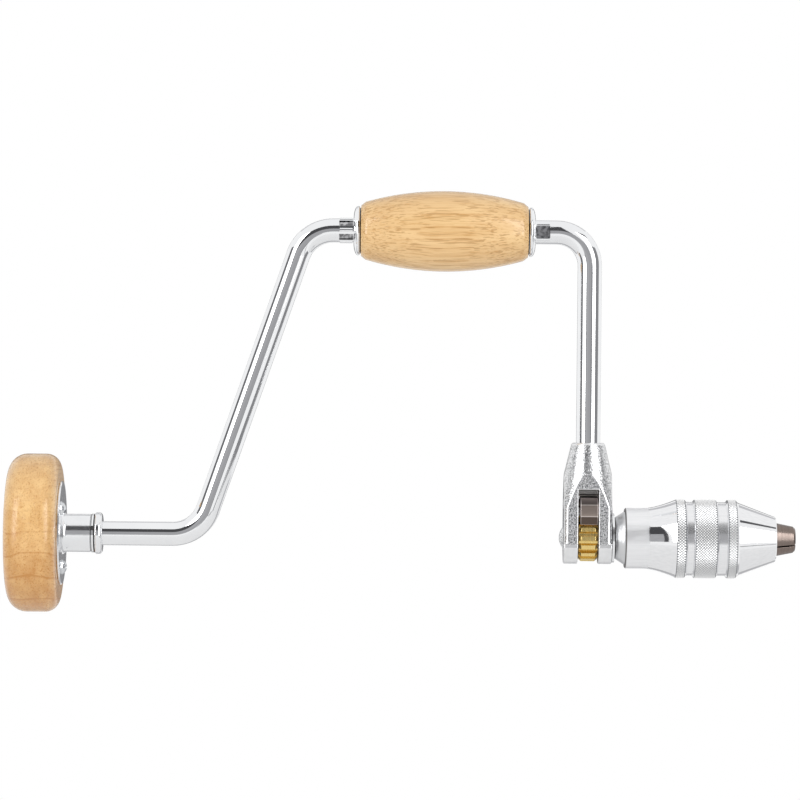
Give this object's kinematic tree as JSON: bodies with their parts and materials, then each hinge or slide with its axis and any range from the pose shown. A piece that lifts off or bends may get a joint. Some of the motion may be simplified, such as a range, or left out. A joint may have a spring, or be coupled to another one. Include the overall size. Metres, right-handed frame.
{
  "type": "ratchet brace",
  "caption": "Ratchet brace with a bent plated crank, turning wooden head and grip, forked ratchet housing with a rocking pawl, and a knurled jaw chuck.",
  "frame": {"origin": "mouth of the jaws' round grip, on the main axis", "axes": "+X along the main axis out of the jaws, +Z from the main axis to the grip, +Y away from the viewer of the picture"},
  "size_m": [0.3942, 0.079, 0.2121],
  "materials": {
    "wood": "satin lacquer",
    "chrome": "bright plated",
    "casting": "plated casting",
    "bright": "polished",
    "dark_steel": "dark, satin",
    "brass": "satin",
    "steel": "satin"
  },
  "bodies": {
    "crank": {"crank_frame": "chrome", "thrust_collar": "chrome", "bearing_balls": "steel", "tail_washer": "steel", "tail_nut": "steel", "grip_cap_head": "chrome", "grip_cap_chuck": "chrome", "ratchet_body": "casting", "pawl_pin": "dark_steel", "detent_spring": "steel"},
    "head": {"head_knob": "wood", "head_plate": "chrome", "head_screws": "steel", "neck_bush": "brass", "race_washer": "chrome"},
    "grip": {"hand_grip": "wood"},
    "pawl": {"pawl": "dark_steel"},
    "plunger": {"detent_plunger": "steel"},
    "spindle": {"spindle": "bright", "ratchet_wheel": "brass", "spindle_washer": "bright", "spindle_screw": "bright", "jaw_spring": "steel"},
    "ring": {"taper_ring": "steel"},
    "shell": {"chuck_shell": "bright"},
    "jaw_upper": {"jaw_upper": "dark_steel"},
    "jaw_lower": {"jaw_lower": "dark_steel"}
  },
  "joints": [
    {"name": "head_spin", "type": "hinge", "parent": "crank", "child": "head", "pos_m": [-0.36, 0, 0], "axis": [1, 0, 0], "continuous": true},
    {"name": "grip_spin", "type": "hinge", "parent": "crank", "child": "grip", "pos_m": [-0.1765, 0, 0.1525], "axis": [1, 0, 0], "continuous": true},
    {"name": "spindle_spin", "type": "hinge", "parent": "crank", "child": "spindle", "pos_m": [-0.10375, 0, 0], "axis": [1, 0, 0], "continuous": true},
    {"name": "pawl_rock", "type": "hinge", "parent": "crank", "child": "pawl", "pos_m": [-0.10365, 0, 0.0172], "axis": [1, 0, 0], "range_deg": [-8, 8]},
    {"name": "plunger_lift", "type": "slide", "parent": "crank", "child": "plunger", "axis": [0, 0, 1], "range_m": [0, 0.001], "stiffness_N_per_m": 500, "springref_m": -0.002, "deforming": ["detent_spring"]},
    {"name": "ring_slide", "type": "slide", "parent": "spindle", "child": "ring", "axis": [1, 0, 0], "range_m": [-0.002, 0.012]},
    {"name": "shell_turn", "type": "hinge", "parent": "ring", "child": "shell", "pos_m": [-0.027, 0, 0], "axis": [1, 0, 0], "range_deg": [-288, 1728]},
    {"name": "jaw_upper_slide", "type": "slide", "parent": "spindle", "child": "jaw_upper", "axis": [0, -0.454, 0.891], "range_m": [-0.0004, 0.0024], "deforming": ["jaw_spring"]},
    {"name": "jaw_lower_slide", "type": "slide", "parent": "spindle", "child": "jaw_lower", "axis": [0, 0.454, -0.891], "range_m": [-0.0004, 0.0024]}
  ],
  "couplings": [
    {"joint": "ring_slide", "follows": "shell_turn", "m_per_rad": 0.00039789},
    {"joint": "jaw_upper_slide", "follows": "shell_turn", "m_per_rad": 0.000079577},
    {"joint": "jaw_lower_slide", "follows": "shell_turn", "m_per_rad": 0.000079577}
  ]
}
